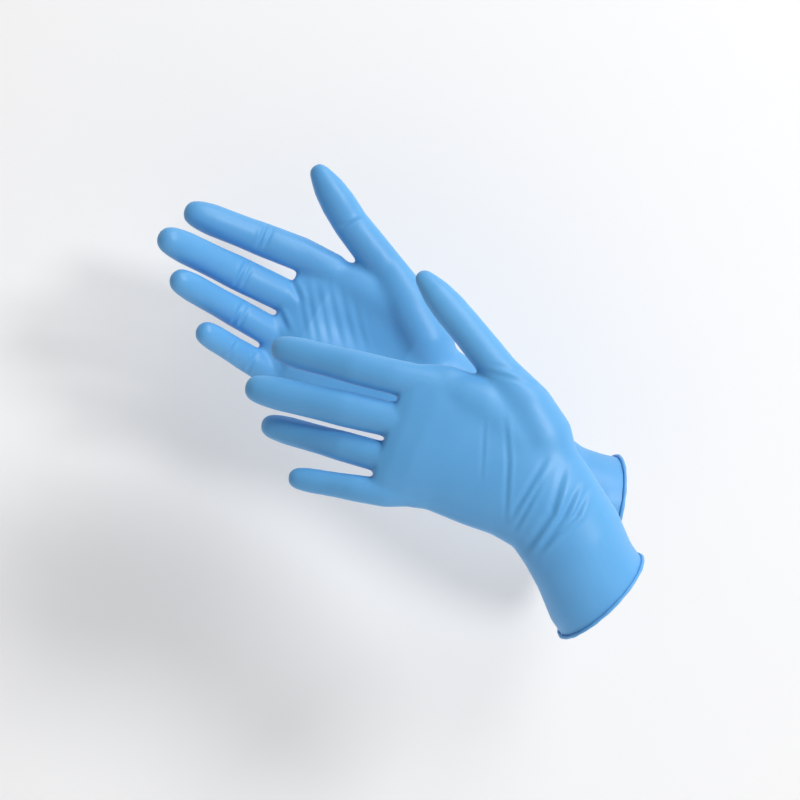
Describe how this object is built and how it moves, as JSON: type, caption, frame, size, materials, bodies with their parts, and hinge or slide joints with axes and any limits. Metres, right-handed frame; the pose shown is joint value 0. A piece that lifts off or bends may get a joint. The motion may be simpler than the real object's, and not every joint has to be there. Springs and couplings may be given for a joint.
{
  "type": "pair of disposable gloves",
  "caption": "A pair of sky-blue disposable nitrile gloves in the shape they take on hands, palms facing, with rolled cuff beads and stalls that bend at the finger joints",
  "frame": {"origin": "the centre of the right glove's cuff opening, which is where that glove is held", "axes": "the thumbs point up, +Z; the stalls point to the left, -X; the right glove's palm faces -Y and the left glove's palm faces +Y, so the two palms face each other along Y"},
  "size_m": [0.27, 0.2199, 0.2652],
  "materials": {
    "nitrile_film": "satin"
  },
  "bodies": {
    "right_cuff_body": {"right_cuff": "nitrile_film", "right_cuff_bead": "nitrile_film", "right_wrist": "nitrile_film"},
    "right_palm_body": {"right_palm": "nitrile_film"},
    "right_index_base_body": {"right_index_base": "nitrile_film"},
    "right_index_middle_body": {"right_index_middle": "nitrile_film"},
    "right_index_tip_body": {"right_index_tip": "nitrile_film"},
    "right_middle_base_body": {"right_middle_base": "nitrile_film"},
    "right_middle_middle_body": {"right_middle_middle": "nitrile_film"},
    "right_middle_tip_body": {"right_middle_tip": "nitrile_film"},
    "right_ring_base_body": {"right_ring_base": "nitrile_film"},
    "right_ring_middle_body": {"right_ring_middle": "nitrile_film"},
    "right_ring_tip_body": {"right_ring_tip": "nitrile_film"},
    "right_little_base_body": {"right_little_base": "nitrile_film"},
    "right_little_middle_body": {"right_little_middle": "nitrile_film"},
    "right_little_tip_body": {"right_little_tip": "nitrile_film"},
    "right_thumb_base_body": {"right_thumb_base": "nitrile_film"},
    "right_thumb_tip_body": {"right_thumb_tip": "nitrile_film"},
    "left_cuff_body": {"left_cuff": "nitrile_film", "left_cuff_bead": "nitrile_film", "left_wrist": "nitrile_film"},
    "left_palm_body": {"left_palm": "nitrile_film"},
    "left_index_base_body": {"left_index_base": "nitrile_film"},
    "left_index_middle_body": {"left_index_middle": "nitrile_film"},
    "left_index_tip_body": {"left_index_tip": "nitrile_film"},
    "left_middle_base_body": {"left_middle_base": "nitrile_film"},
    "left_middle_middle_body": {"left_middle_middle": "nitrile_film"},
    "left_middle_tip_body": {"left_middle_tip": "nitrile_film"},
    "left_ring_base_body": {"left_ring_base": "nitrile_film"},
    "left_ring_middle_body": {"left_ring_middle": "nitrile_film"},
    "left_ring_tip_body": {"left_ring_tip": "nitrile_film"},
    "left_little_base_body": {"left_little_base": "nitrile_film"},
    "left_little_middle_body": {"left_little_middle": "nitrile_film"},
    "left_little_tip_body": {"left_little_tip": "nitrile_film"},
    "left_thumb_base_body": {"left_thumb_base": "nitrile_film"},
    "left_thumb_tip_body": {"left_thumb_tip": "nitrile_film"}
  },
  "joints": [
    {"name": "gloves_apart", "type": "slide", "parent": "right_cuff_body", "child": "left_cuff_body", "axis": [0, -1, 0], "range_m": [0, 0.12]},
    {"name": "right_wrist", "type": "hinge", "parent": "right_cuff_body", "child": "right_palm_body", "pos_m": [-0.0926, -0.018, 0.0597], "axis": [0.5446, 0, 0.8387], "range_deg": [-25, 15], "stiffness_Nm_per_rad": 0.15, "deforming": ["right_wrist"]},
    {"name": "right_index_knuckle", "type": "hinge", "parent": "right_palm_body", "child": "right_index_base_body", "pos_m": [-0.1736, -0.0282, 0.1448], "axis": [0.3584, 0, 0.9336], "range_deg": [-6, 65], "stiffness_Nm_per_rad": 0.02},
    {"name": "right_index_middle_joint", "type": "hinge", "parent": "right_index_base_body", "child": "right_index_middle_body", "pos_m": [-0.19501, -0.03001, 0.15302], "axis": [0.3584, 0, 0.9336], "range_deg": [-6, 72], "stiffness_Nm_per_rad": 0.01},
    {"name": "right_index_end_joint", "type": "hinge", "parent": "right_index_middle_body", "child": "right_index_tip_body", "pos_m": [-0.215, -0.03512, 0.16069], "axis": [0.3584, 0, 0.9336], "range_deg": [-6, 50], "stiffness_Nm_per_rad": 0.005},
    {"name": "right_middle_knuckle", "type": "hinge", "parent": "right_palm_body", "child": "right_middle_base_body", "pos_m": [-0.1832, -0.0283, 0.1214], "axis": [0.4321, 0, 0.9018], "range_deg": [-6, 65], "stiffness_Nm_per_rad": 0.02},
    {"name": "right_middle_middle_joint", "type": "hinge", "parent": "right_middle_base_body", "child": "right_middle_middle_body", "pos_m": [-0.2073, -0.03667, 0.13295], "axis": [0.4321, 0, 0.9018], "range_deg": [-6, 72], "stiffness_Nm_per_rad": 0.01},
    {"name": "right_middle_end_joint", "type": "hinge", "parent": "right_middle_middle_body", "child": "right_middle_tip_body", "pos_m": [-0.22724, -0.05129, 0.1425], "axis": [0.4321, 0, 0.9018], "range_deg": [-6, 50], "stiffness_Nm_per_rad": 0.005},
    {"name": "right_ring_knuckle", "type": "hinge", "parent": "right_palm_body", "child": "right_ring_base_body", "pos_m": [-0.1875, -0.0272, 0.0989], "axis": [0.4909, 0, 0.8712], "range_deg": [-6, 65], "stiffness_Nm_per_rad": 0.02},
    {"name": "right_ring_middle_joint", "type": "hinge", "parent": "right_ring_base_body", "child": "right_ring_middle_body", "pos_m": [-0.20793, -0.03588, 0.11041], "axis": [0.4909, 0, 0.8712], "range_deg": [-6, 72], "stiffness_Nm_per_rad": 0.01},
    {"name": "right_ring_end_joint", "type": "hinge", "parent": "right_ring_middle_body", "child": "right_ring_tip_body", "pos_m": [-0.22445, -0.05059, 0.11972], "axis": [0.4909, 0, 0.8712], "range_deg": [-6, 50], "stiffness_Nm_per_rad": 0.005},
    {"name": "right_little_knuckle", "type": "hinge", "parent": "right_palm_body", "child": "right_little_base_body", "pos_m": [-0.1895, -0.0261, 0.0767], "axis": [0.527, 0, 0.8499], "range_deg": [-6, 65], "stiffness_Nm_per_rad": 0.02},
    {"name": "right_little_middle_joint", "type": "hinge", "parent": "right_little_base_body", "child": "right_little_middle_body", "pos_m": [-0.20371, -0.03276, 0.08551], "axis": [0.527, 0, 0.8499], "range_deg": [-6, 72], "stiffness_Nm_per_rad": 0.01},
    {"name": "right_little_end_joint", "type": "hinge", "parent": "right_little_middle_body", "child": "right_little_tip_body", "pos_m": [-0.21505, -0.0441, 0.09254], "axis": [0.527, 0, 0.8499], "range_deg": [-6, 50], "stiffness_Nm_per_rad": 0.005},
    {"name": "right_thumb_knuckle", "type": "hinge", "parent": "right_palm_body", "child": "right_thumb_base_body", "pos_m": [-0.13099, -0.0277, 0.13409], "axis": [0.7094, -0.5, 0.4967], "range_deg": [-6, 20], "stiffness_Nm_per_rad": 0.02},
    {"name": "right_thumb_end_joint", "type": "hinge", "parent": "right_thumb_base_body", "child": "right_thumb_tip_body", "pos_m": [-0.15016, -0.02948, 0.15968], "axis": [0.8051, -0.4767, 0.3529], "range_deg": [-6, 30], "stiffness_Nm_per_rad": 0.01},
    {"name": "left_wrist", "type": "hinge", "parent": "left_cuff_body", "child": "left_palm_body", "pos_m": [-0.0363, -0.168, 0.005], "axis": [-0.6691, 0, -0.7431], "range_deg": [-25, 15], "stiffness_Nm_per_rad": 0.15, "deforming": ["left_wrist"]},
    {"name": "left_index_knuckle", "type": "hinge", "parent": "left_palm_body", "child": "left_index_base_body", "pos_m": [-0.12, -0.1578, 0.0748], "axis": [-0.2402, 0, -0.9707], "range_deg": [-6, 65], "stiffness_Nm_per_rad": 0.02},
    {"name": "left_index_middle_joint", "type": "hinge", "parent": "left_index_base_body", "child": "left_index_middle_body", "pos_m": [-0.14219, -0.15519, 0.08029], "axis": [-0.2402, 0, -0.9707], "range_deg": [-6, 72], "stiffness_Nm_per_rad": 0.01},
    {"name": "left_index_end_joint", "type": "hinge", "parent": "left_index_middle_body", "child": "left_index_tip_body", "pos_m": [-0.16278, -0.14933, 0.08539], "axis": [-0.2402, 0, -0.9707], "range_deg": [-6, 50], "stiffness_Nm_per_rad": 0.005},
    {"name": "left_middle_knuckle", "type": "hinge", "parent": "left_palm_body", "child": "left_middle_base_body", "pos_m": [-0.1208, -0.1577, 0.0513], "axis": [-0.2233, 0, -0.9748], "range_deg": [-6, 65], "stiffness_Nm_per_rad": 0.02},
    {"name": "left_middle_middle_joint", "type": "hinge", "parent": "left_middle_base_body", "child": "left_middle_middle_body", "pos_m": [-0.14797, -0.15507, 0.05752], "axis": [-0.2233, 0, -0.9748], "range_deg": [-6, 72], "stiffness_Nm_per_rad": 0.01},
    {"name": "left_middle_end_joint", "type": "hinge", "parent": "left_middle_middle_body", "child": "left_middle_tip_body", "pos_m": [-0.1733, -0.14979, 0.06332], "axis": [-0.2233, 0, -0.9748], "range_deg": [-6, 50], "stiffness_Nm_per_rad": 0.005},
    {"name": "left_ring_knuckle", "type": "hinge", "parent": "left_palm_body", "child": "left_ring_base_body", "pos_m": [-0.1238, -0.1588, 0.03], "axis": [-0.2689, 0, -0.9632], "range_deg": [-6, 65], "stiffness_Nm_per_rad": 0.02},
    {"name": "left_ring_middle_joint", "type": "hinge", "parent": "left_ring_base_body", "child": "left_ring_middle_body", "pos_m": [-0.14713, -0.15262, 0.03651], "axis": [-0.2689, 0, -0.9632], "range_deg": [-6, 72], "stiffness_Nm_per_rad": 0.01},
    {"name": "left_ring_end_joint", "type": "hinge", "parent": "left_ring_middle_body", "child": "left_ring_tip_body", "pos_m": [-0.16812, -0.14255, 0.04237], "axis": [-0.2689, 0, -0.9632], "range_deg": [-6, 50], "stiffness_Nm_per_rad": 0.005},
    {"name": "left_little_knuckle", "type": "hinge", "parent": "left_palm_body", "child": "left_little_base_body", "pos_m": [-0.1244, -0.1599, 0.0113], "axis": [-0.1633, 0, -0.9866], "range_deg": [-6, 65], "stiffness_Nm_per_rad": 0.02},
    {"name": "left_little_middle_joint", "type": "hinge", "parent": "left_little_base_body", "child": "left_little_middle_body", "pos_m": [-0.14204, -0.15779, 0.01422], "axis": [-0.1633, 0, -0.9866], "range_deg": [-6, 72], "stiffness_Nm_per_rad": 0.01},
    {"name": "left_little_end_joint", "type": "hinge", "parent": "left_little_middle_body", "child": "left_little_tip_body", "pos_m": [-0.15877, -0.15345, 0.01699], "axis": [-0.1633, 0, -0.9866], "range_deg": [-6, 50], "stiffness_Nm_per_rad": 0.005},
    {"name": "left_thumb_knuckle", "type": "hinge", "parent": "left_palm_body", "child": "left_thumb_base_body", "pos_m": [-0.06703, -0.1583, 0.07481], "axis": [-0.7006, -0.5, -0.509], "range_deg": [-6, 20], "stiffness_Nm_per_rad": 0.02},
    {"name": "left_thumb_end_joint", "type": "hinge", "parent": "left_thumb_base_body", "child": "left_thumb_tip_body", "pos_m": [-0.08665, -0.15652, 0.10006], "axis": [-0.7006, -0.5, -0.509], "range_deg": [-6, 30], "stiffness_Nm_per_rad": 0.01}
  ],
  "couplings": [
    {"joint": "right_index_end_joint", "follows": "right_index_middle_joint", "ratio": 0.67},
    {"joint": "right_middle_end_joint", "follows": "right_middle_middle_joint", "ratio": 0.67},
    {"joint": "right_ring_end_joint", "follows": "right_ring_middle_joint", "ratio": 0.67},
    {"joint": "right_little_end_joint", "follows": "right_little_middle_joint", "ratio": 0.67},
    {"joint": "left_index_end_joint", "follows": "left_index_middle_joint", "ratio": 0.67},
    {"joint": "left_middle_end_joint", "follows": "left_middle_middle_joint", "ratio": 0.67},
    {"joint": "left_ring_end_joint", "follows": "left_ring_middle_joint", "ratio": 0.67},
    {"joint": "left_little_end_joint", "follows": "left_little_middle_joint", "ratio": 0.67}
  ]
}
